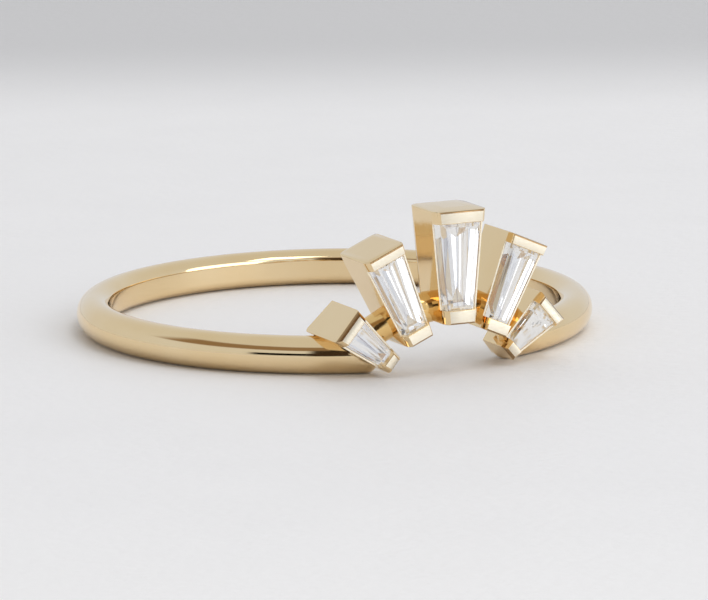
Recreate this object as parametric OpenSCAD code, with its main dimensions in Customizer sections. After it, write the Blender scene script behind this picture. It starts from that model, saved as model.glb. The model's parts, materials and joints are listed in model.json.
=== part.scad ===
// Stacking ring with five tapered baguette diamonds fanned out over an arch.
// The metal is one soldered piece of yellow gold. Each stone is a piece of its own.
// Millimetres. The origin is the middle of the finger hole, halfway up the band wire.
// +Z is the axis of the finger hole, and the head of the ring faces -Y.
// The ring lies on its side, so its lowest level is the underside of the band wire.

/* [Finger hole] */
// Radius of the finger hole
finger_r = 8.25; // [7.8:0.05:8.7]

/* [Band] */
// Radius of the round wire of the band
band_r = 0.675; // [0.6:0.005:0.72]
// Distance from the finger hole to the middle of the wire, less than its radius
band_mid = 0.56; // [0.5:0.01:0.58]
// Half of the angle that the band leaves open at the head
band_gap_a = 15.5; // [14:0.5:16.5]

/* [Arch] */
// Radius of the arch wire
arch_wire_r = 0.56; // [0.5:0.01:0.62]
// Radius of the middle line of the arch
arch_r = 4.3; // [4.1:0.05:4.6]
// Height of the middle line at the top of the arch
arch_top_z = 1.66; // [1.55:0.01:1.75]
// Distance from the ring's middle to the middle line at the top of the arch
arch_y = 9.07; // [8.9:0.01:9.2]
// Lean of the arch, so that its feet follow the curve of the finger
arch_lean = 25; // [20:1:30]
// Half of the angle that the arch wire spans
arch_a = 41; // [38:1:43]

/* [Centre setting] */
// Length of the setting
c_len = 4.03; // [3.8:0.01:4.3]
// Width of the walls at the wide end
c_wall_wide = 2.07; // [1.95:0.01:2.2]
// Width of the walls at the narrow end
c_wall_narrow = 1.31; // [1.2:0.01:1.5]
// Height of the narrow end
c_tip_z = 1.17; // [1.1:0.01:1.25]
// Distance from the ring's middle to the face of the bars
c_face = 10.55; // [10.3:0.01:10.8]
// Depth from the face of the bars to the back of the walls
c_depth = 2.25; // [2.1:0.01:2.3]
// Height of the bar at the wide end
c_bar_wide = 0.44; // [0.35:0.01:0.5]
// Height of the bar at the narrow end
c_bar_narrow = 0.5; // [0.4:0.01:0.55]
// Rounding of the two end edges of the face
c_round = 0.06; // [0.03:0.01:0.12]
// Distance that the long edges of the face lie inside the walls
c_face_in = 0.19; // [0.12:0.01:0.25]
// Rounding of the two long edges at the back
c_back_round = 0.42; // [0.2:0.01:0.5]

/* [Inner settings] */
// Length of each setting
i_len = 3.53; // [3.3:0.01:3.75]
// Width of the walls at the wide end
i_wall_wide = 1.62; // [1.5:0.01:1.7]
// Width of the walls at the narrow end
i_wall_narrow = 1.07; // [1:0.01:1.15]
// Distance of the narrow end from the middle plane
i_tip_x = 1.437; // [1.4:0.001:1.5]
// Height of the narrow end
i_tip_z = 0.65; // [0.6:0.01:0.72]
// Lean of the setting from upright
i_lean = 23.5; // [22:0.1:25]
// Distance from the ring's middle to the face of the bars
i_face = 10.31; // [10.1:0.01:10.5]
// Depth from the face of the bars to the back of the walls
i_depth = 2.4; // [2.1:0.01:2.45]
// Height of the bar at the wide end
i_bar_wide = 0.36; // [0.3:0.01:0.42]
// Height of the bar at the narrow end
i_bar_narrow = 0.44; // [0.38:0.01:0.5]
// Rounding of the two end edges of the face
i_round = 0.06; // [0.03:0.01:0.12]
// Distance that the long edges of the face lie inside the walls
i_face_in = 0.13; // [0.1:0.01:0.2]
// Rounding of the two long edges at the back
i_back_round = 0.28; // [0.2:0.01:0.4]
// Angle round the finger that the flat back faces
i_back_a = 15; // [13:0.5:17]

/* [Outer settings] */
// Length of each setting
o_len = 2.42; // [2.3:0.01:2.55]
// Width of the walls at the wide end
o_wall_wide = 1.42; // [1.35:0.01:1.5]
// Width of the walls at the narrow end
o_wall_narrow = 0.71; // [0.66:0.01:0.78]
// Distance of the narrow end from the middle plane
o_tip_x = 2.218; // [2.15:0.001:2.3]
// Height of the narrow end
o_tip_z = -0.25; // [-0.28:0.01:-0.2]
// Lean of the setting from upright
o_lean = 49.8; // [48:0.1:52]
// Distance from the ring's middle to the face of the bars
o_face = 9.82; // [9.7:0.01:9.95]
// Depth from the face of the bars to the back of the walls
o_depth = 2.7; // [2.4:0.01:2.8]
// Height of the bar at the wide end
o_bar_wide = 0.4; // [0.35:0.01:0.45]
// Height of the bar at the narrow end
o_bar_narrow = 0.4; // [0.36:0.01:0.44]
// Distance that the two end edges of the face lie inside the ends
o_end_in = 0.09; // [0.06:0.01:0.12]
// Depth over which each end curves in to the face
o_end_depth = 0.3; // [0.2:0.01:0.35]
// Distance that the long edges of the face lie inside the walls
o_face_in = 0.16; // [0.1:0.01:0.2]
// Rounding of the two long edges at the back
o_back_round = 0.14; // [0.1:0.01:0.25]
// Angle round the finger that the flat back faces
o_back_a = 22; // [20:0.5:24]

/* [Stone seats] */
// Distance that the backs of the settings stand off the finger hole
back_gap = 0.03; // [0.02:0.01:0.08]
// Depth from the face of the bars to the front edge of the side walls
wall_front = 0.38; // [0.32:0.01:0.42]
// Thickness of the side walls beside the girdle, gap included
wall_edge = 0.08; // [0.07:0.005:0.12]
// Length of stone that each bar overlaps
tuck = 0.15; // [0.1:0.01:0.2]
// Gap between a stone and the metal
stone_gap = 0.02; // [0.015:0.005:0.03]

/* [Stones] */
// Height of the crown, as a part of the stone's narrow half width
crown_part = 0.48; // [0.4:0.01:0.55]
// Inset of the table, as a part of the stone's narrow half width
table_part = 0.5; // [0.4:0.01:0.6]
// Thickness of the girdle
girdle_h = 0.03; // [0.02:0.005:0.04]
// Slope of the pavilion sides beside the keel
keel_slope = 38; // [32:1:42]

/* [Hidden] */
GOLD = [0.93, 0.80, 0.55];
DIAMOND = [0.90, 0.94, 0.97];

// Fineness of the round metal
$fn = 96;
// Segments of each rounded edge
corner_steps = 8;
// Length that passes through everything it cuts
far = 30;

// Columns of a setting's row
LEN = 0; WALL_W = 1; WALL_N = 2; TIP_X = 3; TIP_Z = 4; LEAN = 5; FACE = 6; DEPTH = 7;
BAR_W = 8; BAR_N = 9; END_IN = 10; END_D = 11; FACE_IN = 12; BACK_R = 13; BACK_A = 14;

CENTRE = [c_len, c_wall_wide, c_wall_narrow, 0, c_tip_z, 0, c_face, c_depth,
          c_bar_wide, c_bar_narrow, c_round, c_round, c_face_in, c_back_round, 0];
INNER = [i_len, i_wall_wide, i_wall_narrow, i_tip_x, i_tip_z, i_lean, i_face, i_depth,
         i_bar_wide, i_bar_narrow, i_round, i_round, i_face_in, i_back_round, i_back_a];
OUTER = [o_len, o_wall_wide, o_wall_narrow, o_tip_x, o_tip_z, o_lean, o_face, o_depth,
         o_bar_wide, o_bar_narrow, o_end_in, o_end_depth, o_face_in, o_back_round, o_back_a];

LEFT = -1;
RIGHT = 1;
// Setting and side of each place in the fan
FAN = [[CENTRE, RIGHT], [INNER, LEFT], [INNER, RIGHT], [OUTER, LEFT], [OUTER, RIGHT]];

// Steps of the pavilion, each as [inset, depth below the girdle], both as parts
// of the stone's narrow half width
PAVILION = [[0.28, 0.42], [0.6, 0.8]];
// Distance from each end of the last pavilion step to the keel's end, likewise
KEEL_NARROW = 0.9;
KEEL_WIDE = 0.6;
// Inset and height of the crown's middle step, as parts of the table's
CROWN_STEP = [0.45, 0.62];
// Inset of the window behind each stone, as a part of its narrow half width
window_part = 0.5;

// Half width of a setting's walls at a height above its narrow end
function wall_half(s, z) = (s[WALL_N] + (s[WALL_W] - s[WALL_N]) * z / s[LEN]) / 2;
// Height of the stone's two ends above the narrow end of the setting
function stone_low(s) = s[BAR_N] - tuck;
function stone_high(s) = s[LEN] - s[BAR_W] + tuck;
// Half width of the stone at its girdle
function stone_half(s, z) = wall_half(s, z) - wall_edge;
// Half width of the stone's narrow end, which scales its facets
function stone_unit(s) = stone_half(s, stone_low(s));
// Radius of the curve that leads inwards by an inset over a depth, flush where it starts
function curve_r(inset, depth) = (pow(inset, 2) + pow(depth, 2)) / 2 / inset;
// Angle between a setting's middle line and each side wall
function taper(s) = atan((s[WALL_W] - s[WALL_N]) / 2 / s[LEN]);

// Points of an arc of radius r about [x, y]
function arc(x, y, r, from, to) =
    [for (i = [0 : corner_steps])
        let (a = from + (to - from) * i / corner_steps)
        [x + r * cos(a), y + r * sin(a)]];

// Four corners of a facet step, inset from the girdle outline, at a depth.
// The order is narrow left, narrow right, wide right, wide left.
function step_ring(s, inset, depth) =
    let (low = stone_low(s) + inset, high = stone_high(s) - inset,
         half_low = stone_half(s, low) - inset, half_high = stone_half(s, high) - inset)
    [[-half_low, depth, low], [half_low, depth, low],
     [half_high, depth, high], [-half_high, depth, high]];

// Two ends of the keel, where the sides of the last pavilion step meet
function keel(s, inset, depth) =
    let (u = stone_unit(s),
         low = stone_low(s) + inset + KEEL_NARROW * u,
         high = stone_high(s) - inset - KEEL_WIDE * u)
    [for (z = [low, high]) [0, depth + (stone_half(s, z) - inset) * tan(keel_slope), z]];

// Tapered step-cut baguette, grown on all sides by a gap
module baguette(s, grow = 0) {
    u = stone_unit(s);
    front = wall_front - grow;
    back = wall_front + girdle_h + grow;
    table_in = table_part * u - grow;
    crown = crown_part * u;
    last = len(PAVILION) - 1;
    rings = concat(
        [step_ring(s, table_in, front - crown),
         step_ring(s, table_in * CROWN_STEP[0], front - crown * CROWN_STEP[1]),
         step_ring(s, -grow, front),
         step_ring(s, -grow, back)],
        [for (p = PAVILION) step_ring(s, p[0] * u - grow, back + p[1] * u)]);
    tip = keel(s, PAVILION[last][0] * u - grow, back + PAVILION[last][1] * u);
    points = concat([for (r = rings) each r], tip);
    n = len(rings);
    base = 4 * (n - 1);
    k = 4 * n;
    faces = concat(
        [[3, 2, 1, 0]],
        [for (r = [0 : n - 2], i = [0 : 3])
            let (j = (i + 1) % 4)
            [4 * r + i, 4 * r + j, 4 * (r + 1) + j, 4 * (r + 1) + i]],
        [[base, base + 1, k], [base + 1, base + 2, k + 1, k],
         [base + 2, base + 3, k + 1], [base + 3, base, k, k + 1]]);
    polyhedron(points, faces);
}

// Prism whose outline is drawn from the front, from one depth to another
module front_prism(from, to) {
    translate([0, to, 0]) rotate([90, 0, 0]) linear_extrude(height = to - from) children();
}

// All that lies on the inner side of one side wall, with its long edges rounded
module wall_side(s, side) {
    f = curve_r(s[FACE_IN], wall_front);
    r = s[BACK_R];
    translate([side * s[WALL_N] / 2, 0, 0]) rotate([0, side * taper(s), 0])
        mirror([side == LEFT ? 1 : 0, 0, 0])
            translate([0, 0, -far / 4]) linear_extrude(height = far / 2)
                polygon(concat([[-far / 4, s[DEPTH]], [-far / 4, 0]],
                               arc(-f, wall_front, f, -asin(wall_front / f), 0),
                               arc(-r, s[DEPTH] - r, r, 0, 90)));
}

// All that lies between the two ends of a setting, each curving in to the face
module end_walls(s) {
    d = s[END_D];
    r = curve_r(s[END_IN], d);
    a = asin(d / r);
    rotate([0, 0, 90]) rotate([90, 0, 0])
        translate([0, 0, -far / 4]) linear_extrude(height = far / 2)
            polygon(concat([[s[DEPTH], s[LEN]], [s[DEPTH], 0]],
                           arc(d, r, r, 270, 270 - a), arc(d, s[LEN] - r, r, 90 + a, 90)));
}

// Solid form of one setting in its own frame: narrow end at the origin, wide end up,
// face of the bars at Y = 0 and the finger side at +Y. Between the bars the side walls
// stand back from the face.
module setting_body(s) {
    difference() {
        intersection() {
            wall_side(s, LEFT);
            wall_side(s, RIGHT);
            end_walls(s);
        }
        translate([-far / 2, wall_front - far, s[BAR_N]])
            cube([far, far, s[LEN] - s[BAR_W] - s[BAR_N]]);
    }
}

// Window behind the stone that lets the light in
module setting_window(s) {
    u = stone_unit(s);
    in = window_part * u;
    low = stone_low(s) + in;
    high = stone_high(s) - in;
    front_prism(wall_front + u, far / 2)
        polygon([[in - stone_half(s, low), low], [stone_half(s, low) - in, low],
                 [stone_half(s, high) - in, high], [in - stone_half(s, high), high]]);
}

// Puts a setting, its window or its stone in the fan
module placed(s, side) {
    translate([side * s[TIP_X], -s[FACE], s[TIP_Z]]) rotate([0, side * s[LEAN], 0]) children();
}

// One whole setting but its seat. A flat cut keeps its back clear of the finger.
module setting(s, side) {
    difference() {
        placed(s, side) difference() {
            setting_body(s);
            setting_window(s);
        }
        rotate([0, 0, side * s[BACK_A]])
            translate([-far / 2, -finger_r - back_gap, -far / 2]) cube(far);
    }
}

// Round wire of the band, open at the head and flat where it meets the finger
module band_wire() {
    difference() {
        rotate([0, 0, band_gap_a - 90]) rotate_extrude(angle = 360 - 2 * band_gap_a)
            translate([finger_r + band_mid, 0]) circle(r = band_r);
        cylinder(r = finger_r, h = far, center = true);
    }
}

// Arch wire that carries the narrow ends, its own ends inside the outer settings
module arch_wire() {
    translate([0, -arch_y, arch_top_z]) rotate([arch_lean, 0, 0]) translate([0, 0, -arch_r])
        rotate([90, 0, 0]) rotate([0, 0, 90 - arch_a]) rotate_extrude(angle = 2 * arch_a)
            translate([arch_r, 0]) circle(r = arch_wire_r);
}

// All of the metal, soldered into one piece
module mounting() {
    color(GOLD) difference() {
        union() {
            band_wire();
            difference() {
                arch_wire();
                for (g = FAN) placed(g[0], g[1]) setting_window(g[0]);
            }
            for (g = FAN) setting(g[0], g[1]);
        }
        for (g = FAN) placed(g[0], g[1]) baguette(g[0], stone_gap);
    }
}

module stone(s, side) {
    color(DIAMOND) placed(s, side) baguette(s);
}

module stone_centre() { stone(CENTRE, RIGHT); }
module stone_inner_left() { stone(INNER, LEFT); }
module stone_inner_right() { stone(INNER, RIGHT); }
module stone_outer_left() { stone(OUTER, LEFT); }
module stone_outer_right() { stone(OUTER, RIGHT); }

mounting();
stone_centre();
stone_inner_left();
stone_inner_right();
stone_outer_left();
stone_outer_right();
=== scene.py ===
"""Looks of a stacking ring with five tapered baguette diamonds in yellow gold.

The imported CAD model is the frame. The stones keep their CAD solids and get a
diamond finish. The soldered metal is modelled again with soft polished edges
and stands for the CAD mounting. Sizes are in millimetres until a mesh is made,
and angles in degrees unless a line says otherwise.
"""

import json
import logging
import math
from contextlib import contextmanager
from dataclasses import dataclass, field
from enum import Enum
from typing import Any, Callable, Iterator

import bmesh
import bpy
from mathutils import Matrix, Vector

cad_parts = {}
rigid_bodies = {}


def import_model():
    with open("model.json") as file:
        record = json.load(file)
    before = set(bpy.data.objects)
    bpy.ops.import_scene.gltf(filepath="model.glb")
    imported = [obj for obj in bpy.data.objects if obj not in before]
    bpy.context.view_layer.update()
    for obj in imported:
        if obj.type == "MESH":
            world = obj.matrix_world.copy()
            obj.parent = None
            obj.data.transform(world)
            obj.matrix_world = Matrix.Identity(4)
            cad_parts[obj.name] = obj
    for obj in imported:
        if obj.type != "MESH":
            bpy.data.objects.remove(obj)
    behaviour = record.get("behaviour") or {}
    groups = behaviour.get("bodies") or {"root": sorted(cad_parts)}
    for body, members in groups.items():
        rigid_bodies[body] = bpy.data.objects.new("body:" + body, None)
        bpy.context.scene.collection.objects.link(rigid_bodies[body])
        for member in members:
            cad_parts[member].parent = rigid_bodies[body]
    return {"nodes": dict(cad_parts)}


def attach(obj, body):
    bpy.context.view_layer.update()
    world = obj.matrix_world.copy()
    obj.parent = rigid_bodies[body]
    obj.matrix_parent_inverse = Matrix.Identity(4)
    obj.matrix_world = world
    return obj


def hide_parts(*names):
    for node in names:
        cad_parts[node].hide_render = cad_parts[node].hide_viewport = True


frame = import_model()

LOG = logging.getLogger("ring")
# One millimetre in metres
MM = 0.001
# Distance under which two levels are taken as one
NEAR = 1e-4
# Distance under which two points are taken as one
TINY = 1e-5
# Cosine over which a direction runs along an axis
ALONG = 0.9
# Cosine over which a face looks straight along an axis
STRAIGHT = 0.999
# Sides of a round wire
WIRE_SIDES = 56
# Numbers of a mix node's two colour inputs and of its colour output
MIX_A, MIX_B, MIX_OUT = 6, 7, 2


class Side(Enum):
    """Side of the fan that a setting leans to, seen from the head."""

    LEFT = -1
    MIDDLE = 0
    RIGHT = 1


class Pick(Enum):
    """Kind of mesh element that is selected."""

    VERTS = (True, False, False)
    EDGES = (False, True, False)
    FACES = (False, False, True)


class Join(Enum):
    """What a solid does to the object that it is combined with."""

    CUT = "DIFFERENCE"
    ADD = "UNION"


# Work on meshes


def activate(obj: bpy.types.Object) -> None:
    """Selects one object alone and makes it active.

    Args:
        obj: The object to work on.
    """
    for other in bpy.context.view_layer.objects:
        other.select_set(False)
    obj.select_set(True)
    bpy.context.view_layer.objects.active = obj


@contextmanager
def editing(obj: bpy.types.Object) -> Iterator[None]:
    """Keeps an object in edit mode for the length of a with block.

    Args:
        obj: The mesh object to edit.
    """
    activate(obj)
    bpy.ops.object.mode_set(mode="EDIT")
    try:
        yield
    finally:
        bpy.ops.object.mode_set(mode="OBJECT")


def pick(kind: Pick, test: Callable[[Any], bool]) -> int:
    """Selects the elements of the edited mesh that pass a test.

    Args:
        kind: Which elements are looked at.
        test: Says whether a bmesh element is selected.

    Returns:
        How many elements were selected.
    """
    bpy.context.tool_settings.mesh_select_mode = kind.value
    bpy.ops.mesh.select_all(action="DESELECT")
    mesh = bmesh.from_edit_mesh(bpy.context.object.data)
    elements = {Pick.VERTS: mesh.verts, Pick.EDGES: mesh.edges, Pick.FACES: mesh.faces}
    chosen = [e for e in elements[kind] if test(e)]
    for element in chosen:
        element.select_set(True)
    mesh.select_flush_mode()
    bmesh.update_edit_mesh(bpy.context.object.data)
    return len(chosen)


def middle(edge: Any) -> Vector:
    """Middle of a bmesh edge."""
    return (edge.verts[0].co + edge.verts[1].co) / 2


def upright(edge: Any) -> bool:
    """Says whether a bmesh edge runs mostly along Z."""
    run = edge.verts[0].co - edge.verts[1].co
    return abs(run.z) > ALONG * run.length


def round_edges(test: Callable[[Any], bool], radius: float, segments: int) -> None:
    """Rounds edges of the edited mesh.

    Args:
        test: Says whether a bmesh edge is rounded.
        radius: Radius of the rounding.
        segments: How many strips the rounding has.
    """
    if pick(Pick.EDGES, test):
        bpy.ops.mesh.bevel(offset=radius, segments=segments, affect="EDGES")


def cut_off(point: Vector, out: Vector) -> None:
    """Cuts off what the edited mesh has beyond a plane and closes the cut.

    Args:
        point: A point of the plane.
        out: Direction in which the mesh is cut off.
    """
    bpy.ops.mesh.select_all(action="SELECT")
    bpy.ops.mesh.bisect(plane_co=point, plane_no=out, use_fill=True, clear_outer=True)


def face_out() -> None:
    """Turns all faces of the edited mesh outwards."""
    bpy.ops.mesh.select_all(action="SELECT")
    bpy.ops.mesh.normals_make_consistent(inside=False)


def apply_place(obj: bpy.types.Object) -> None:
    """Puts an object's place, turn and size into its mesh."""
    activate(obj)
    bpy.ops.object.transform_apply(location=True, rotation=True, scale=True)


def set_down(obj: bpy.types.Object, place: Matrix) -> None:
    """Puts an object at a place, and that place into its mesh."""
    obj.matrix_world = place
    apply_place(obj)


def apply_modifier(obj: bpy.types.Object, kind: str, **settings: Any) -> None:
    """Adds a modifier with its settings and applies it.

    Args:
        obj: The mesh object.
        kind: The modifier's type.
        **settings: Values for the modifier's properties.
    """
    activate(obj)
    modifier = obj.modifiers.new(kind.lower(), kind)
    for name, value in settings.items():
        setattr(modifier, name, value)
    bpy.ops.object.modifier_apply(modifier=modifier.name)


def combine(obj: bpy.types.Object, other: bpy.types.Object, join: Join) -> None:
    """Cuts another solid from an object, or adds it, and deletes the other."""
    apply_modifier(obj, "BOOLEAN", object=other, operation=join.value, solver="EXACT")
    bpy.data.objects.remove(other)


def wedge(name: str, low: Vector, high: Vector, spread: float) -> bpy.types.Object:
    """Block whose upper face is wider or narrower than its lower face.

    Args:
        name: Name of the new object.
        low: Lowest corner.
        high: Highest corner of the block before it spreads.
        spread: Width of the upper face over the width of the lower face.

    Returns:
        The block, with its place in its mesh.
    """
    bpy.ops.mesh.primitive_cube_add(size=1, location=(low + high) / 2)
    obj = bpy.context.object
    obj.name = name
    obj.scale = high - low
    apply_place(obj)
    with editing(obj):
        pick(Pick.FACES, lambda f: f.normal.z > ALONG)
        bpy.ops.transform.resize(value=(spread, 1, 1), center_override=(0, 0, high.z))
    return obj


def wire_section(name: str, radius: float, mid_r: float, fill: str) -> bpy.types.Object:
    """Circle that is spun about Z to make a wire.

    Args:
        name: Name of the new object.
        radius: Radius of the wire.
        mid_r: Distance of the wire's middle from the axis.
        fill: How the circle is filled, NOTHING or NGON.

    Returns:
        The circle, in the plane of X and Z, with its place in its mesh.
    """
    bpy.ops.mesh.primitive_circle_add(
        vertices=WIRE_SIDES, radius=radius, fill_type=fill,
        location=(mid_r, 0, 0), rotation=(math.pi / 2, 0, 0))
    section = bpy.context.object
    section.name = name
    apply_place(section)
    return section


def spin_about_z(steps: int, angle: float) -> None:
    """Spins all of the edited mesh about Z.

    Args:
        steps: How many steps the turn has.
        angle: Angle of the whole turn.
    """
    bpy.ops.mesh.select_all(action="SELECT")
    bpy.ops.mesh.spin(steps=steps, angle=math.radians(angle),
                      center=(0, 0, 0), axis=(0, 0, 1))


# Finishes


class Slot(Enum):
    """Material slot of the metal's finishes, in the order of the slots."""

    POLISHED = 0
    # Bars: brushed gold with a near-white base colour as painted highlight
    BAR = 1
    # Arch: rougher gold, deeper in colour as painted shade between the settings
    CAST = 2
    # Curves at the bars' ends: darker gold as painted dark reflection
    EDGE = 3


def add_finishes(obj: bpy.types.Object, finishes: dict[Slot, bpy.types.Material]) -> None:
    """Gives a mesh object the metal's material slots."""
    for slot in Slot:
        obj.data.materials.append(finishes[slot])


def linear(hex_colour: str) -> tuple[float, float, float, float]:
    """Turns an sRGB hex colour into linear values with full alpha.

    Args:
        hex_colour: Six hex digits, such as "E8C890".

    Returns:
        Linear red, green, blue and alpha.
    """
    parts = [int(hex_colour[i:i + 2], 16) / 255 for i in (0, 2, 4)]
    red, green, blue = (
        c / 12.92 if c <= 0.04045 else ((c + 0.055) / 1.055) ** 2.4 for c in parts)
    return red, green, blue, 1.0


def add_node(tree: bpy.types.NodeTree, kind: str, inputs: dict[Any, Any],
             **settings: Any) -> bpy.types.Node:
    """Adds a node with its settings, values and links.

    Args:
        tree: The node tree.
        kind: The node's type name.
        inputs: Value, or output socket to link from, by input name or number.
        **settings: Values for the node's properties.

    Returns:
        The new node.
    """
    node = tree.nodes.new(kind)
    for name, value in settings.items():
        setattr(node, name, value)
    for key, value in inputs.items():
        if isinstance(value, bpy.types.NodeSocket):
            tree.links.new(value, node.inputs[key])
        else:
            node.inputs[key].default_value = value
    return node


def new_material(name: str) -> tuple[bpy.types.Material, bpy.types.NodeTree,
                                     bpy.types.NodeSocket]:
    """Makes a node material that has only its coordinates.

    Args:
        name: The material's name.

    Returns:
        The material, its node tree and its Object coordinates.
    """
    material = bpy.data.materials.new(name)
    material.use_nodes = True
    tree = material.node_tree
    tree.nodes.clear()
    return material, tree, add_node(tree, "ShaderNodeTexCoord", {}).outputs["Object"]


def per_mm(size: float) -> float:
    """Texture scale whose features are about size millimetres across."""
    return 1 / (size * MM)


@dataclass(frozen=True)
class PolishedGold:
    """14 karat yellow gold, cast, filed and buffed by hand.

    Buffing leaves a mirror with slow swells, so reflections bend a little, and
    hairlines that only dull it slightly.

    Attributes:
        colour, deep: Colour of most of the metal, and of its warmer clouds.
        swell_mm, swell_height: Width and height of a swell.
        hairline_mm: Distance between hairlines.
        smooth, dull: Roughness beside and in the hairlines.
        tone_mm: Width of a cloud of colour.
        line_part: Noise values where a hairline starts and is full.
    """

    name: str = "polished_yellow_gold"
    colour: str = "F4DFB8"
    deep: str = "EACB96"
    swell_mm: float = 1.6
    swell_height: float = 0.007
    hairline_mm: float = 0.12
    smooth: float = 0.05
    dull: float = 0.11
    tone_mm: float = 3.5
    line_part: tuple[float, float] = (0.3, 0.75)

    def build(self) -> bpy.types.Material:
        """Makes the material.

        Returns:
            The material.
        """
        material, tree, at = new_material(self.name)
        tone = add_node(tree, "ShaderNodeTexNoise", {
            "Vector": at, "Scale": per_mm(self.tone_mm), "Detail": 3.0})
        colour = add_node(tree, "ShaderNodeMix", {
            "Factor": tone.outputs["Fac"], MIX_A: linear(self.colour),
            MIX_B: linear(self.deep)}, data_type="RGBA")
        hairs = add_node(tree, "ShaderNodeTexNoise", {
            "Vector": at, "Scale": per_mm(self.hairline_mm), "Detail": 4.0,
            "Distortion": 0.6})
        rough = add_node(tree, "ShaderNodeMapRange", {
            "Value": hairs.outputs["Fac"], "From Min": self.line_part[0],
            "From Max": self.line_part[1], "To Min": self.smooth, "To Max": self.dull})
        swell = add_node(tree, "ShaderNodeTexNoise", {
            "Vector": at, "Scale": per_mm(self.swell_mm), "Detail": 1.0})
        bump = add_node(tree, "ShaderNodeBump", {
            "Height": swell.outputs["Fac"], "Distance": self.swell_height * MM,
            "Strength": 1.0})
        shader = add_node(tree, "ShaderNodeBsdfPrincipled", {
            "Base Color": colour.outputs[MIX_OUT], "Metallic": 1.0,
            "Roughness": rough.outputs[0], "Normal": bump.outputs[0]})
        add_node(tree, "ShaderNodeOutputMaterial", {"Surface": shader.outputs[0]})
        return material


@dataclass(frozen=True)
class BrushedGoldPaintedHighlight:
    """Faces of the bars, cut flat with a graver and brushed with fine paper.

    The brushing spreads the light of the whole room, and the base colour is painted
    near white, paler than the gold: a painted highlight that makes the bars look
    creamy beside the mirror walls. The fields are like those of polished gold, and
    stretch is the pattern's scale along the strokes.
    """

    # Near-white base colours: painted highlight on the bars
    colour: str = "F8F1E0"
    deep: str = "F3E8D1"
    stroke_mm: float = 0.05
    stroke_height: float = 0.002
    stretch: float = 0.2
    smooth: float = 0.46
    dull: float = 0.6
    stroke_part: tuple[float, float] = (0.3, 0.7)

    def build(self) -> bpy.types.Material:
        """Makes the material.

        Returns:
            The material.
        """
        material, tree, at = new_material("brushed_gold_painted_highlight")
        along = add_node(tree, "ShaderNodeMapping", {
            "Vector": at, "Scale": (self.stretch, 1, 1)})
        strokes = add_node(tree, "ShaderNodeTexNoise", {
            "Vector": along.outputs[0], "Scale": per_mm(self.stroke_mm), "Detail": 3.0})
        colour = add_node(tree, "ShaderNodeMix", {
            "Factor": strokes.outputs["Fac"], MIX_A: linear(self.colour),
            MIX_B: linear(self.deep)}, data_type="RGBA")
        rough = add_node(tree, "ShaderNodeMapRange", {
            "Value": strokes.outputs["Fac"], "From Min": self.stroke_part[0],
            "From Max": self.stroke_part[1], "To Min": self.smooth, "To Max": self.dull})
        bump = add_node(tree, "ShaderNodeBump", {
            "Height": strokes.outputs["Fac"], "Distance": self.stroke_height * MM,
            "Strength": 0.6})
        shader = add_node(tree, "ShaderNodeBsdfPrincipled", {
            "Base Color": colour.outputs[MIX_OUT], "Metallic": 1.0,
            "Roughness": rough.outputs[0], "Normal": bump.outputs[0]})
        add_node(tree, "ShaderNodeOutputMaterial", {"Surface": shader.outputs[0]})
        return material


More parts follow.
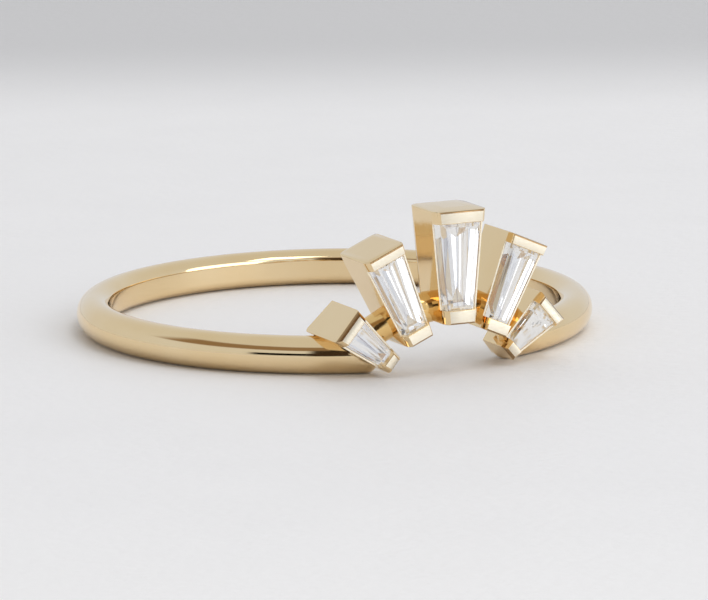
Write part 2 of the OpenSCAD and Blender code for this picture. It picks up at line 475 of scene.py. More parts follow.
@dataclass(frozen=True)
class StepCutDiamond:
    """Colourless diamond, cut in steps and polished on a scaife.

    Diamond bends light far more than glass, so the steps throw most of it back
    white. Where the steps mirror one another, long thin grey and lilac bars along
    the stone are painted into the base colour: painted reflections.
    Light that has turned inside the stone many times ends in a painted glow, a pale
    emission in place of the light the renderer stops following.

    Attributes:
        clear, cool, zone_mm: Colours of the zones, and the width of one.
        bar, bar_mm: Colour of the thin bars of painted reflection, and the distance
            between them.
        bar_part: Noise values where a bar starts and is full.
        stretch: Scale of the pattern along the bars, which makes them long.
        fan_low, fan_r: How far below the origin the bars of all stones meet, and the
            distance from there at which bar_mm is measured.
        index, clarity: Index of refraction, and share of light that goes through.
        bounces, glow: Turns after which light ends in the painted glow, and its colour.
    """

    clear: str = "F5F5F4"
    cool: str = "E5E8EF"
    zone_mm: float = 0.5
    bar: str = "98949E"
    bar_mm: float = 0.1
    bar_part: tuple[float, float] = (0.62, 0.68)
    stretch: float = 0.05
    fan_low: float = 2.4
    fan_r: float = 5.0
    index: float = 2.417
    clarity: float = 1.0
    bounces: float = 5.5
    glow: str = "E6E3DE"

    def build(self) -> bpy.types.Material:
        """Makes the material.

        Returns:
            The material.
        """
        material, tree, at = new_material("step_cut_diamond")
        parts = add_node(tree, "ShaderNodeSeparateXYZ", {"Vector": at}).outputs
        # Coordinates that fan out, as the stones do
        rise = add_node(tree, "ShaderNodeMath", {0: parts["Z"], 1: self.fan_low * MM},
                        operation="ADD")
        turn = add_node(tree, "ShaderNodeMath", {0: parts["X"], 1: rise.outputs[0]},
                        operation="ARCTAN2")
        across = add_node(tree, "ShaderNodeMath", {0: turn.outputs[0], 1: self.fan_r * MM},
                          operation="MULTIPLY")
        down = add_node(tree, "ShaderNodeMath", {0: rise.outputs[0], 1: self.stretch},
                        operation="MULTIPLY")
        along = add_node(tree, "ShaderNodeCombineXYZ", {
            "X": across.outputs[0], "Y": parts["Y"], "Z": down.outputs[0]})
        zones = add_node(tree, "ShaderNodeTexNoise", {
            "Vector": at, "Scale": per_mm(self.zone_mm), "Detail": 2.0})
        body = add_node(tree, "ShaderNodeMix", {
            "Factor": zones.outputs["Fac"], MIX_A: linear(self.cool),
            MIX_B: linear(self.clear)}, data_type="RGBA")
        # Thin grey and lilac bars in the base colour: painted reflections of the steps
        reflection_bars = add_node(tree, "ShaderNodeTexNoise", {
            "Vector": along.outputs[0], "Scale": per_mm(self.bar_mm), "Detail": 1.0})
        part = add_node(tree, "ShaderNodeMapRange", {
            "Value": reflection_bars.outputs["Fac"], "From Min": self.bar_part[0],
            "From Max": self.bar_part[1]})
        colour = add_node(tree, "ShaderNodeMix", {
            "Factor": part.outputs[0], MIX_A: body.outputs[MIX_OUT],
            MIX_B: linear(self.bar)}, data_type="RGBA")
        shader = add_node(tree, "ShaderNodeBsdfPrincipled", {
            "Base Color": colour.outputs[MIX_OUT], "Roughness": 0.0, "IOR": self.index,
            "Transmission Weight": self.clarity})
        # Painted glow: past that many turns the stone emits pale light in place of the
        # light the renderer stops following
        depth = add_node(tree, "ShaderNodeLightPath", {}).outputs["Ray Depth"]
        deep = add_node(tree, "ShaderNodeMath", {0: depth, 1: self.bounces},
                        operation="GREATER_THAN")
        painted_glow = add_node(tree, "ShaderNodeEmission", {
            "Color": linear(self.glow), "Strength": 1.0})
        whole = add_node(tree, "ShaderNodeMixShader", {
            0: deep.outputs[0], 1: shader.outputs[0], 2: painted_glow.outputs[0]})
        add_node(tree, "ShaderNodeOutputMaterial", {"Surface": whole.outputs[0]})
        return material


@dataclass(frozen=True)
class WhiteTable:
    """White painted board, brushed, with soft clouds and a fine grain.

    It has one even tone round the ring, its far part is a duller grey, and the part
    nearest the viewer is a little lighter: painted light.

    Attributes:
        ring_tone: The one even tone round the ring, in place of the clouds.
        light, shade: Colours of the clouds.
        far, front: Colours of the far part and of the part nearest the viewer, the front
            one a little lighter as painted light.
        near_mm: Distances from the ring where the even tone round it ends.
        far_mm, front_mm: Distances behind the ring where each part starts and is full.
        far_a: Direction of the far part, from straight behind the ring.
        cloud_mm: Width of a cloud.
        grain_mm, grain_height: Width and height of the grain.
        stretch: Scale of the grain along the brush strokes.
    """

    ring_tone: str = "EAEAEC"
    light: str = "EDEDEF"
    shade: str = "E7E7E9"
    far: str = "CACACC"
    # A little lighter than the clouds: painted light on the floor nearest the viewer
    front: str = "F0F0F1"
    near_mm: tuple[float, float] = (11.0, 24.0)
    far_mm: tuple[float, float] = (50.0, 78.0)
    front_mm: tuple[float, float] = (-20.0, -60.0)
    far_a: float = 25.45
    cloud_mm: float = 5.0
    grain_mm: float = 0.3
    grain_height: float = 0.06
    stretch: float = 0.6

    def build(self) -> bpy.types.Material:
        """Makes the material.

        Returns:
            The material.
        """
        material, tree, at = new_material("white_painted_board")
        clouds = add_node(tree, "ShaderNodeTexNoise", {
            "Vector": at, "Scale": per_mm(self.cloud_mm), "Detail": 6.0,
            "Roughness": 0.6})
        colour = add_node(tree, "ShaderNodeMix", {
            "Factor": clouds.outputs["Fac"], MIX_A: linear(self.light),
            MIX_B: linear(self.shade)}, data_type="RGBA")
        away = add_node(tree, "ShaderNodeVectorMath", {0: at}, operation="LENGTH")
        angle = math.radians(self.far_a)
        back = add_node(tree, "ShaderNodeVectorMath", {
            0: at, 1: (math.sin(angle), math.cos(angle), 0)}, operation="DOT_PRODUCT")
        # Measure, reach, tone, and the inputs of the tone and of the colour so far
        tones = ((away, self.near_mm, self.ring_tone, MIX_A, MIX_B),
                 (back, self.far_mm, self.far, MIX_B, MIX_A),
                 (back, self.front_mm, self.front, MIX_B, MIX_A))
        for place, reach, tone, tone_in, colour_in in tones:
            part = add_node(tree, "ShaderNodeMapRange", {
                "Value": place.outputs["Value"], "From Min": reach[0] * MM,
                "From Max": reach[1] * MM}, interpolation_type="SMOOTHSTEP")
            colour = add_node(tree, "ShaderNodeMix", {
                "Factor": part.outputs[0], tone_in: linear(tone),
                colour_in: colour.outputs[MIX_OUT]}, data_type="RGBA")
        along = add_node(tree, "ShaderNodeMapping", {
            "Vector": at, "Scale": (self.stretch, 1, 1)})
        grain = add_node(tree, "ShaderNodeTexNoise", {
            "Vector": along.outputs[0], "Scale": per_mm(self.grain_mm), "Detail": 4.0})
        bump = add_node(tree, "ShaderNodeBump", {
            "Height": grain.outputs["Fac"], "Distance": self.grain_height * MM,
            "Strength": 0.6})
        shader = add_node(tree, "ShaderNodeBsdfPrincipled", {
            "Base Color": colour.outputs[MIX_OUT], "Roughness": 0.6,
            "Normal": bump.outputs[0]})
        add_node(tree, "ShaderNodeOutputMaterial", {"Surface": shader.outputs[0]})
        return material


# The ring's metal


@dataclass
class Band:
    """Round wire band with a flat inner strip, open at the head.

    Attributes:
        bore_r: Radius of the finger hole.
        mid_r: Radius of the middle of the wire.
        wire_r: Radius of the wire.
        gap_a: Half of the open angle at the head.
        strip_soft, strip_segments: Softening of the inner strip's two edges.
        end_r, end_steps: Radius and steps of the rounding at the wire's two ends.
        steps: Steps round the finger.
    """

    bore_r: float = 8.25
    mid_r: float = 8.81
    wire_r: float = 0.675
    gap_a: float = 15.5
    strip_soft: float = 0.07
    strip_segments: int = 4
    end_r: float = 0.42
    end_steps: int = 7
    steps: int = 288

    def build(self) -> bpy.types.Object:
        """Spins the wire round the finger and rounds its two ends.

        Returns:
            The band.
        """
        band = wire_section("band", self.wire_r, self.mid_r, "NOTHING")
        strip_x = self.bore_r
        with editing(band):
            pick(Pick.VERTS, lambda v: v.co.x < strip_x)
            bpy.ops.transform.resize(value=(0, 1, 1), center_override=(strip_x, 0, 0))
            pick(Pick.VERTS, lambda v: abs(v.co.x - strip_x) < TINY)
            ends = [v.co.z for v in bmesh.from_edit_mesh(band.data).verts if v.select]
            low, high = min(ends), max(ends)
            pick(Pick.VERTS, lambda v: abs(v.co.x - strip_x) < TINY
                 and low + TINY < v.co.z < high - TINY)
            bpy.ops.mesh.dissolve_verts()
            pick(Pick.VERTS, lambda v: abs(v.co.x - strip_x) < TINY)
            bpy.ops.mesh.bevel(offset=self.strip_soft, segments=self.strip_segments,
                               affect="VERTICES")
        open_a = self.gap_a + math.degrees(self.end_r / self.mid_r)
        set_down(band, Matrix.Rotation(math.radians(-open_a - 90), 4, "Z"))
        with editing(band):
            spin_about_z(self.steps, 360 - 2 * open_a)
            for side in (Side.LEFT, Side.RIGHT):
                self.round_end(side, math.radians(open_a))
            face_out()
        return band

    def round_end(self, side: Side, open_a: float) -> None:
        """Closes one end of the edited wire with a rounded cap.

        Args:
            side: Which end is closed.
            open_a: Angle between the end and the middle of the head, in radians.
        """
        sign = side.value
        centre = Vector((sign * math.sin(open_a), -math.cos(open_a), 0)) * self.mid_r
        out = Vector((-sign * math.cos(open_a), -math.sin(open_a), 0))
        pick(Pick.EDGES, lambda e: e.is_boundary and middle(e).x * sign > 0)
        bpy.ops.mesh.edge_face_add()
        turn = math.pi / 2 / self.end_steps
        reach, width = 0.0, self.wire_r
        for step in range(1, self.end_steps):
            new_reach = self.end_r * math.sin(step * turn)
            new_width = self.wire_r - self.end_r * (1 - math.cos(step * turn))
            move, shrink = out * (new_reach - reach), new_width / width
            bpy.ops.mesh.extrude_region_move(TRANSFORM_OT_translate={"value": move})
            bpy.ops.transform.resize(value=(shrink,) * 3,
                                     center_override=centre + out * new_reach)
            reach, width = new_reach, new_width


@dataclass
class Arch:
    """Arch wire that carries the narrow ends of the settings.

    Attributes:
        wire_r, mid_r: Radius of the wire, and of the arch at the middle of the wire.
        top_z, out_y: Height of the arch's top, and its distance from the finger's axis.
        lean: Angle by which the arch leans.
        half_a: Half of the arch's angle.
        steps: Steps along the arch.
    """

    wire_r: float = 0.56
    mid_r: float = 4.3
    top_z: float = 1.66
    out_y: float = 9.07
    lean: float = 25.0
    half_a: float = 41.0
    steps: int = 96

    def build(self) -> bpy.types.Object:
        """Spins the wire over the front of the ring.

        Returns:
            The arch.
        """
        arch = wire_section("arch", self.wire_r, self.mid_r, "NGON")
        with editing(arch):
            spin_about_z(self.steps, 2 * self.half_a)
            face_out()
        turn = math.radians(90 + self.half_a)
        place = (Matrix.Translation((0, -self.out_y, self.top_z))
                 @ Matrix.Rotation(math.radians(self.lean), 4, "X")
                 @ Matrix.Translation((0, 0, -self.mid_r))
                 @ Matrix.Rotation(math.pi / 2, 4, "X")
                 @ Matrix.Rotation(turn, 4, "Z"))
        set_down(arch, place)
        return arch


@dataclass
class Setting:
    """Tapered box setting with a bar over each end of its stone.

    Its own frame has the middle of the narrow end's face edge at the origin, +Z
    towards the wide end and +Y towards the finger.

    Attributes:
        stone: Name of the CAD node that it holds.
        length, depth: Length from end to end, and depth behind its face.
        wall_wide, wall_narrow: Width at the wide and the narrow end.
        tip_x, tip_z, lean: Place of the narrow end, and the angle of its lean.
        face_y, back_y: Distances of its face and its back from the finger's axis.
        bar_wide, bar_narrow: Height of the bar at each end.
        end_in, end_d: Inset and depth of the curve from an end to the face.
        face_in: Inset of the curve from a side wall to the face.
        back_r, back_a: Radius of the back's upright edges, and the angle it faces.
        cushion, cushion_strips: Height of the cushion on the wide end, and width and
            climb of its sloped strips in cushion heights.
        wall_front, wall_edge: Depth of the walls' front behind the face, and their
            thickness beside the stone.
        tuck, gap: Length of stone that a bar covers, and its space to the seat.
        window_part: Inset of the window over the stone's half width.
        soft_r, sharp_a: Radius of the bars' soft edges, and the angle in radians over
            which an edge is softened.
        overlap: Extra depth that keeps two cuts from ending on one plane.
        painted_line_in, painted_line_turn: Length of each end that may get the painted dark
            reflection, and how far a face looks forward, as a cosine, before it does.
    """

    name: str
    stone: str
    side: Side
    length: float
    wall_wide: float
    wall_narrow: float
    tip_x: float
    tip_z: float
    lean: float
    face_y: float
    depth: float
    bar_wide: float
    bar_narrow: float
    end_in: float
    end_d: float
    face_in: float
    back_r: float
    back_a: float
    cushion: float
    cushion_strips: tuple[tuple[float, float], ...] = ((3.6, 0.55), (6.0, 0.45))
    back_y: float = 8.28
    wall_front: float = 0.38
    wall_edge: float = 0.08
    tuck: float = 0.15
    gap: float = 0.02
    window_part: float = 0.54
    soft_r: float = 0.025
    soft_steps: int = 3
    sharp_a: float = 0.6
    overlap: float = 0.01
    back_steps: int = 8
    curve_steps: int = 6
    painted_line_in: float = 0.1
    painted_line_turn: float = 0.155

    def place(self) -> Matrix:
        """Matrix from the setting's own frame to the ring's."""
        sign = self.side.value
        return (Matrix.Translation((sign * self.tip_x, -self.face_y, self.tip_z))
                @ Matrix.Rotation(sign * math.radians(self.lean), 4, "Y"))

    def stone_half(self, height: float) -> float:
        """Half width of the stone at a height above the narrow end.

        Args:
            height: Height in the setting's own frame.

        Returns:
            Half width.
        """
        rise = height / self.length
        wall = self.wall_narrow + (self.wall_wide - self.wall_narrow) * rise
        return wall / 2 - self.wall_edge

    def body(self) -> bpy.types.Object:
        """Tapered block with a notch between its two bars, edges rounded.

        Returns:
            The block, in the setting's own frame.
        """
        half, top = self.wall_narrow / 2, self.length
        flare = (self.wall_wide / self.wall_narrow - 1) / top
        high = top + self.cushion
        body = wedge(self.name, Vector((-half, 0, 0)), Vector((half, self.depth, high)),
                     1 + flare * high)
        slant = -(self.wall_wide - self.wall_narrow) / 2 / top
        with editing(body):
            self.cushion_end()
            round_edges(lambda e: upright(e) and middle(e).y > self.depth - NEAR,
                        self.back_r, self.back_steps)
            for sign in (-1, 1):
                self.curve_in(Vector((sign * half, 0, 0)), Vector((sign, 0, slant)),
                              self.face_in, self.wall_front + self.overlap)
            for level, sign in ((0, -1), (top, 1)):
                self.curve_in(Vector((0, 0, level)), Vector((0, 0, sign)),
                              self.end_in, self.end_d)
            round_edges(lambda e: e.calc_face_angle(0) > self.sharp_a
                        and (all(v.co.z < NEAR for v in e.verts)
                             or all(v.co.z > top - NEAR for v in e.verts)),
                        self.soft_r, self.soft_steps)
        notch = wedge("notch", Vector((-top, -top, self.bar_narrow)),
                      Vector((top, self.wall_front, top - self.bar_wide)), 1.0)
        combine(body, notch, Join.CUT)
        flat = min(self.bar_wide, self.bar_narrow) - self.end_in
        with editing(body):
            round_edges(lambda e: middle(e).y < NEAR and not upright(e)
                        and self.end_in + NEAR < middle(e).z < top - self.end_in - NEAR,
                        min(self.soft_r, flat / 3), self.soft_steps)
        # Faces at the ends that look forward get the darker gold: painted dark reflection
        for face in body.data.polygons:
            across, forward, along = face.normal
            at_end = not self.painted_line_in < face.center.z < top - self.painted_line_in
            if at_end and forward < -self.painted_line_turn and abs(along) > abs(across):
                face.material_index = Slot.EDGE.value
        return body

    def curve_in(self, corner: Vector, out: Vector, inset: float, depth: float) -> None:
        """Cuts the curve that leads from a wall or an end of the block to its face.

        Args:
            corner: Point where the wall would meet the plane of the face.
            out: Direction out of the wall.
            inset: Distance that the edge of the face lies inside the wall.
            depth: Depth where the curve is flush with the wall.
        """
        radius = (inset ** 2 + depth ** 2) / 2 / inset
        step_a = math.asin(depth / radius) / self.curve_steps
        for step in range(self.curve_steps, 0, -1):
            turn, slope = step * step_a, (step - 0.5) * step_a
            point = corner - out * radius * (1 - math.cos(turn))
            point.y = depth - radius * math.sin(turn)
            cut_off(point, out * math.cos(slope) - Vector((0, math.sin(slope), 0)))

    def cushion_end(self) -> None:
        """Cuts the wide end of the edited block to a low cushion."""
        half, height = self.wall_wide / 2, self.cushion
        for out, reach in ((Vector((1, 0, 0)), half), (Vector((-1, 0, 0)), half),
                           (Vector((0, 1, 0)), self.depth), (Vector((0, -1, 0)), 0.0)):
            inset, rise = 0.0, 0.0
            for width, climb in self.cushion_strips if height else ():
                edge = out * (reach - inset) + Vector((0, 0, self.length + rise))
                cut_off(edge, Vector((0, 0, 1)) + out * (climb / width))
                inset, rise = inset + width * height, rise + climb * height

    def window(self) -> bpy.types.Object:
        """Solid that cuts the window behind the stone.

        Returns:
            The solid, in the setting's own frame.
        """
        low, high = self.bar_narrow - self.tuck, self.length - self.bar_wide + self.tuck
        unit = self.stone_half(low)
        inset = self.window_part * unit
        low, high = low + inset, high - inset
        narrow, wide = (self.stone_half(z) - inset for z in (low, high))
        return wedge("window", Vector((-narrow, self.wall_front + unit, low)),
                     Vector((narrow, 2 * self.depth, high)), wide / narrow)

    def seat(self) -> bpy.types.Object:
        """Solid that cuts the stone's seat: the stone, grown by its gap.

        Returns:
            The solid, in the ring's frame.
        """
        stone = frame["nodes"][self.stone]
        seat = bpy.data.objects.new("seat", stone.data.copy())
        bpy.context.scene.collection.objects.link(seat)
        set_down(seat, Matrix.Scale(1 / MM, 4))
        with editing(seat):
            bpy.ops.mesh.select_all(action="SELECT")
            bpy.ops.mesh.remove_doubles(threshold=NEAR)
            bpy.ops.transform.shrink_fatten(value=self.gap, use_even_offset=True)
        return seat

    def build(self, finishes: dict[Slot, bpy.types.Material]) -> bpy.types.Object:
        """Makes the setting in its place, with its window and its flat back.

        Args:
            finishes: The metal's materials by slot.

        Returns:
            The setting.
        """
        body, window = self.body(), self.window()
        add_finishes(body, finishes)
        combine(body, window, Join.CUT)
        set_down(body, self.place())
        # Farther than any part of a setting
        reach = 10.0
        back = wedge("back", Vector((-reach, -self.back_y, -reach)),
                     Vector((reach, reach, reach)), 1.0)
        turn = self.side.value * math.radians(self.back_a)
        set_down(back, Matrix.Rotation(turn, 4, "Z"))
        combine(body, back, Join.CUT)
        return body


@dataclass
class Mounting:
    """All of the soldered metal: band, arch and settings as one piece.

    Points closer than weld are merged after the cuts, and faces that meet at less
    than smooth_a are shaded as one surface.
    """

    band: Band = field(default_factory=Band)
    arch: Arch = field(default_factory=Arch)
    weld: float = 0.0005
    smooth_a: float = 32.0

    def settings(self) -> list[Setting]:
        """The five settings of the fan.

        Returns:
            The middle setting, then the inner and the outer one of each side.
        """
        rows = [Setting(
            "setting_centre", "stone_centre", Side.MIDDLE,
            length=4.03, wall_wide=2.07, wall_narrow=1.31, tip_x=0.0, tip_z=1.17,
            lean=0.0, face_y=10.55, depth=2.25, bar_wide=0.44, bar_narrow=0.5,
            end_in=0.06, end_d=0.06, face_in=0.19, back_r=0.42, back_a=0.0,
            cushion=0.07)]
        for side in (Side.LEFT, Side.RIGHT):
            word = side.name.lower()
            rows.append(Setting(
                f"setting_inner_{word}", f"stone_inner_{word}", side,
                length=3.53, wall_wide=1.62, wall_narrow=1.07, tip_x=1.437, tip_z=0.65,
                lean=23.5, face_y=10.31, depth=2.4, bar_wide=0.36, bar_narrow=0.44,
                end_in=0.06, end_d=0.06, face_in=0.13, back_r=0.28, back_a=15.0,
                cushion=0.03))
            rows.append(Setting(
                f"setting_outer_{word}", f"stone_outer_{word}", side,
                length=2.42, wall_wide=1.42, wall_narrow=0.71, tip_x=2.218, tip_z=-0.25,
                lean=49.8, face_y=9.82, depth=2.7, bar_wide=0.4, bar_narrow=0.4,
                end_in=0.09, end_d=0.3, face_in=0.16, back_r=0.14, back_a=22.0,
                cushion=0.0))
        return rows

    def build(self, finishes: dict[Slot, bpy.types.Material]) -> bpy.types.Object:
        """Models the metal, joins it into one solid and cuts the seats.

        Args:
            finishes: The metal's materials by slot.

        Returns:
            The finished piece.
        """
        metal = self.band.build()
        metal.name = "mounting_metal"
        arch = self.arch.build()
        add_finishes(metal, finishes)
        add_finishes(arch, finishes)
        # The arch takes the deeper gold: painted shade in the gaps between the settings
        for face in arch.data.polygons:
            face.material_index = Slot.CAST.value
        rows = self.settings()
        for row in rows:
            window = row.window()
            set_down(window, row.place())
            combine(arch, window, Join.CUT)
        for part in [arch] + [row.build(finishes) for row in rows]:
            combine(metal, part, Join.ADD)
        for row in rows:
            combine(metal, row.seat(), Join.CUT)
        with editing(metal):
            bpy.ops.mesh.select_all(action="SELECT")
            bpy.ops.mesh.remove_doubles(threshold=self.weld)
            bpy.ops.mesh.dissolve_degenerate(threshold=self.weld)
        # Faces that look straight forward, the bars, get the brushed gold with its painted
        # highlight
        for face in metal.data.polygons:
            level = [metal.data.vertices[v].co.y for v in face.vertices]
            if face.normal.y < -STRAIGHT and max(level) - min(level) < NEAR:
                face.material_index = Slot.BAR.value
        used = sorted({face.material_index for face in metal.data.polygons})
        LOG.info("slots in use: %s", used)
        set_down(metal, Matrix.Scale(MM, 4))
        activate(metal)
        bpy.ops.object.shade_smooth_by_angle(angle=math.radians(self.smooth_a))
        apply_modifier(metal, "WEIGHTED_NORMAL", keep_sharp=True, weight=50)
        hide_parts("mounting")
        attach(metal, "root")
        LOG.info("mounting_metal: %d faces", len(metal.data.polygons))
        return metal


@dataclass
class Stones:
    """The five stones, which keep their CAD solids."""

    names: tuple[str, ...] = ("stone_centre", "stone_inner_left", "stone_inner_right",
                              "stone_outer_left", "stone_outer_right")

    def build(self, diamond: bpy.types.Material) -> None:
        """Gives every stone the diamond finish.

        Args:
            diamond: The stones' material.
        """
        for name in self.names:
            stone = frame["nodes"][name]
            stone.data.materials.clear()
            stone.data.materials.append(diamond)
            LOG.info("%s: %d faces", name, len(stone.data.polygons))


# The studio


def toward(azimuth: float, elevation: float) -> Vector:
    """Direction at an azimuth, which is 0 in front of the head, and an elevation."""
    az, el = math.radians(azimuth), math.radians(elevation)
    return Vector((math.sin(az) * math.cos(el), -math.cos(az) * math.cos(el), math.sin(el)))


@dataclass(frozen=True)
class DarkPatch:
    """Dark part of the room that the polished metal mirrors.

    Its soft sides are soft_a wide, and its soft lower and upper edges soft high,
    as a sine of the elevation.
    """

    azimuth: float
    half_a: float
    soft_a: float
    low: float
    high: float
    soft: float
    colour: str


@dataclass(frozen=True)
class SoftBox:
    """Soft light that looks at the ring, and that metal may mirror."""

    name: str
    azimuth: float
    elevation: float
    width: float
    height: float
    watts: float
    colour: str = "FFFFFF"
    mirrored: bool = True
    distance: float = 400.0


@dataclass
class Studio:
    """Camera, table, soft lights and surroundings.

    Attributes:
        azimuth, elevation, roll, distance: Place of the camera, and its tilt.
        aim_right, aim_up: Where it aims, from the middle of the ring.
        sensor: Width of the sensor.
        focal_px, picture_px: Focal length and width of the picture in pixels.
        clip: Nearest and farthest distance that it sees.
        table_z, table_r: Height of the table, under the band, and its radius.
        tent_low, tent_high: Colour of the tent low down and overhead.
        tent_reach: Sines of the elevations between which that colour changes.
        mirrored: Tint of the tent where metal mirrors it.
        patches, boxes: Dark stand, lens and figure of the photographer; the lights.
    """

    azimuth: float = -25.45
    elevation: float = 10.58
    roll: float = -0.63
    distance: float = 200.0
    aim_right: float = 0.72
    aim_up: float = 0.295
    sensor: float = 36.0
    focal_px: float = 5432.0
    picture_px: float = 708.0
    clip: tuple[float, float] = (5.0, 5000.0)
    table_z: float = -0.675
    table_r: float = 900.0
    tent_low: str = "E4E6EA"
    tent_high: str = "DEDDDA"
    tent_reach: tuple[float, float] = (0.35, 0.95)
    mirrored: str = "F8FBFF"
    patches: tuple[DarkPatch, ...] = (
        DarkPatch(azimuth=-66.0, half_a=42.0, soft_a=22.0, low=34.0, high=50.0,
                  soft=0.07, colour="937D64"),
        DarkPatch(azimuth=-40.0, half_a=19.0, soft_a=7.0, low=4.0, high=14.5,
                  soft=0.03, colour="100D0A"),
        DarkPatch(azimuth=-26.0, half_a=7.0, soft_a=6.0, low=3.0, high=30.0,
                  soft=0.12, colour="3E3226"))
    boxes: tuple[SoftBox, ...] = (
        SoftBox("window", 37.0, 21.0, width=330.0, height=280.0, watts=0.5,
                colour="FDFEFF"),
        SoftBox("ceiling", 102.0, 62.0, width=420.0, height=420.0, watts=0.22,
                mirrored=False),
        SoftBox("lamp", 20.0, 65.0, width=160.0, height=160.0, watts=0.2))

    def camera(self) -> None:
        """Makes the camera at the photograph's angle."""
        azimuth, roll = math.radians(self.azimuth), math.radians(self.roll)
        back = toward(self.azimuth, self.elevation)
        right = Vector((math.cos(azimuth), math.sin(azimuth), 0))
        up = back.cross(right)
        target = right * self.aim_right + up * self.aim_up
        side = right * math.cos(roll) + up * math.sin(roll)
        top = up * math.cos(roll) - right * math.sin(roll)
        data = bpy.data.cameras.new("camera")
        data.lens = self.focal_px / self.picture_px * self.sensor
        data.sensor_width = self.sensor
        data.clip_start, data.clip_end = (end * MM for end in self.clip)
        camera = bpy.data.objects.new("camera", data)
        bpy.context.scene.collection.objects.link(camera)
        place = Matrix((side, top, back)).transposed().to_4x4()
        place.translation = (target + back * self.distance) * MM
        camera.matrix_world = place
        bpy.context.scene.camera = camera

    def table(self) -> None:
        """Makes the white table that the ring lies on."""
        bpy.ops.mesh.primitive_circle_add(
            vertices=128, radius=self.table_r * MM, fill_type="NGON",
            location=(0, 0, self.table_z * MM))
        table = bpy.context.object
        table.name = "table"
        apply_place(table)
        table.data.materials.append(WhiteTable().build())

    def light(self, box: SoftBox) -> None:
        """Adds a soft box that looks at the ring.

        Args:
            box: Where the light is, and how large and bright.
        """
        away = toward(box.azimuth, box.elevation)
        data = bpy.data.lights.new(box.name, "AREA")
        data.shape, data.size, data.size_y = "RECTANGLE", box.width * MM, box.height * MM
        data.energy, data.color = box.watts, linear(box.colour)[:3]
        light = bpy.data.objects.new(box.name, data)
        bpy.context.scene.collection.objects.link(light)
        light.location = away * box.distance * MM
        light.rotation_euler = away.to_track_quat("Z", "Y").to_euler()
        light.visible_glossy = box.mirrored

    def surroundings(self) -> None:
        """Makes a white tent, a little greyer above, with dark patches in it.

        The patches are left out of light that comes through the stones, and the
        tent is slightly cooler where metal mirrors it.
        """
        world = bpy.data.worlds.new("studio")
        world.use_nodes = True
        tree = world.node_tree
        tree.nodes.clear()
        at = add_node(tree, "ShaderNodeTexCoord", {}).outputs["Generated"]
        height = add_node(tree, "ShaderNodeSeparateXYZ", {"Vector": at}).outputs["Z"]
        above = add_node(tree, "ShaderNodeMapRange", {
            "Value": height, "From Min": self.tent_reach[0],
            "From Max": self.tent_reach[1]}, interpolation_type="SMOOTHSTEP")
        tent = add_node(tree, "ShaderNodeMix", {
            "Factor": above.outputs[0], MIX_A: linear(self.tent_low),
            MIX_B: linear(self.tent_high)}, data_type="RGBA")
        path = add_node(tree, "ShaderNodeLightPath", {}).outputs
        outside = add_node(tree, "ShaderNodeMath", {
            0: 1.0, 1: path["Is Transmission Ray"]}, operation="SUBTRACT")
        metal = add_node(tree, "ShaderNodeMath", {
            0: path["Is Glossy Ray"], 1: outside.outputs[0]}, operation="MULTIPLY")
        shade = add_node(tree, "ShaderNodeMix", {
            "Factor": metal.outputs[0], MIX_A: tent.outputs[MIX_OUT],
            MIX_B: linear(self.mirrored)}, data_type="RGBA", blend_type="MULTIPLY")
        for patch in self.patches:
            part = add_node(tree, "ShaderNodeMath", {
                0: self.patch_part(tree, at, height, patch), 1: outside.outputs[0]},
                operation="MULTIPLY")
            shade = add_node(tree, "ShaderNodeMix", {
                "Factor": part.outputs[0], MIX_A: shade.outputs[MIX_OUT],
                MIX_B: linear(patch.colour)}, data_type="RGBA")
        glow = add_node(tree, "ShaderNodeBackground", {
            "Color": shade.outputs[MIX_OUT], "Strength": 1.0})
        add_node(tree, "ShaderNodeOutputWorld", {"Surface": glow.outputs[0]})
        bpy.context.scene.world = world

    def patch_part(self, tree: bpy.types.NodeTree, at: bpy.types.NodeSocket,
                   height: bpy.types.NodeSocket, patch: DarkPatch) -> bpy.types.NodeSocket:
        """Strength of a dark patch of the surroundings, by direction.

        Args:
            tree: The world's node tree.
            at: Direction in the room.
            height: Sine of the direction's elevation.
            patch: Where the patch is.

        Returns:
            Strength from 0 to 1.
        """
        azimuth = math.radians(patch.azimuth)
        ahead = add_node(tree, "ShaderNodeVectorMath", {
            0: at, 1: (math.sin(azimuth), -math.cos(azimuth), 0)}, operation="DOT_PRODUCT")
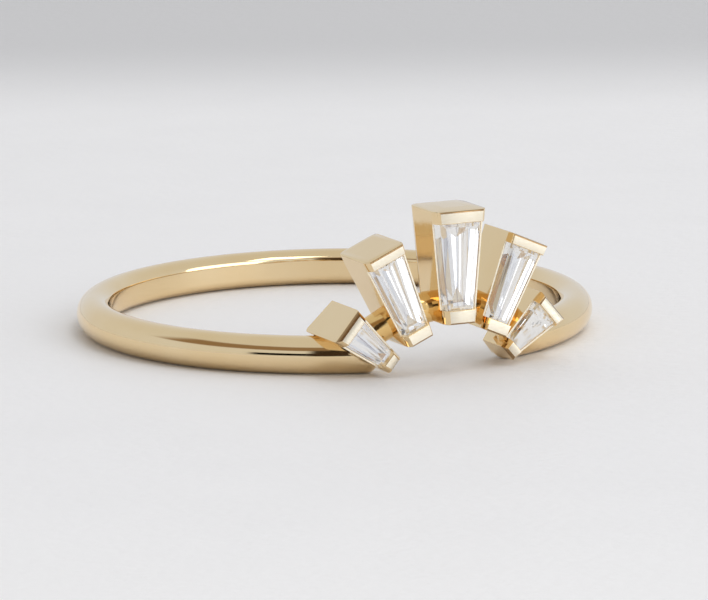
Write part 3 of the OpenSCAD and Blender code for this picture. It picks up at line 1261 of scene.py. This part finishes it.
        # Cosine of the elevation, which makes ahead a cosine of the azimuth alone
        square = add_node(tree, "ShaderNodeMath", {0: height, 1: height},
                          operation="MULTIPLY")
        rest = add_node(tree, "ShaderNodeMath", {0: 1.0, 1: square.outputs[0]},
                        operation="SUBTRACT")
        level = add_node(tree, "ShaderNodeMath", {0: rest.outputs[0], 1: 0.5},
                         operation="POWER")
        turn = add_node(tree, "ShaderNodeMath", {
            0: ahead.outputs["Value"], 1: level.outputs[0]}, operation="DIVIDE")
        low, high = (math.sin(math.radians(a)) for a in (patch.low, patch.high))
        side_none, side_full = (math.cos(math.radians(patch.half_a + soft))
                                for soft in (patch.soft_a, 0))
        # Measure, and its values where the patch ends and is full
        edges = ((height, low - patch.soft, low), (height, high + patch.soft, high),
                 (turn.outputs[0], side_none, side_full))
        strength = 1.0
        for value, none, full in edges:
            step = add_node(tree, "ShaderNodeMapRange", {
                "Value": value, "From Min": none, "From Max": full},
                interpolation_type="SMOOTHSTEP")
            strength = add_node(tree, "ShaderNodeMath", {
                0: strength, 1: step.outputs[0]}, operation="MULTIPLY").outputs[0]
        return strength

    def build(self) -> None:
        """Sets up the whole studio."""
        self.camera()
        self.table()
        self.surroundings()
        for box in self.boxes:
            self.light(box)
        bpy.context.scene.view_settings.view_transform = "Standard"


def main() -> None:
    """Builds the ring and its studio, piece by piece."""
    logging.basicConfig(level=logging.INFO, format="%(name)s: %(message)s")
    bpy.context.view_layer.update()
    Studio().build()
    Stones().build(StepCutDiamond().build())
    finishes = {
        Slot.POLISHED: PolishedGold(),
        Slot.BAR: BrushedGoldPaintedHighlight(),
        # Arch between the settings: deeper gold as painted shade in the gaps, and rougher
        Slot.CAST: PolishedGold("cast_gold_painted_shade", "F3CF90", "E9BC70", dull=0.2),
        # Curves at the bars' ends: darker gold as painted dark reflection, a thin outline
        Slot.EDGE: PolishedGold("painted_dark_reflection_gold", "B0926A", "A18058",
                                smooth=0.15, dull=0.3)}
    Mounting().build({slot: finish.build() for slot, finish in finishes.items()})
    bpy.context.view_layer.update()
    LOG.info("size file written")


if __name__ == "__main__":
    main()
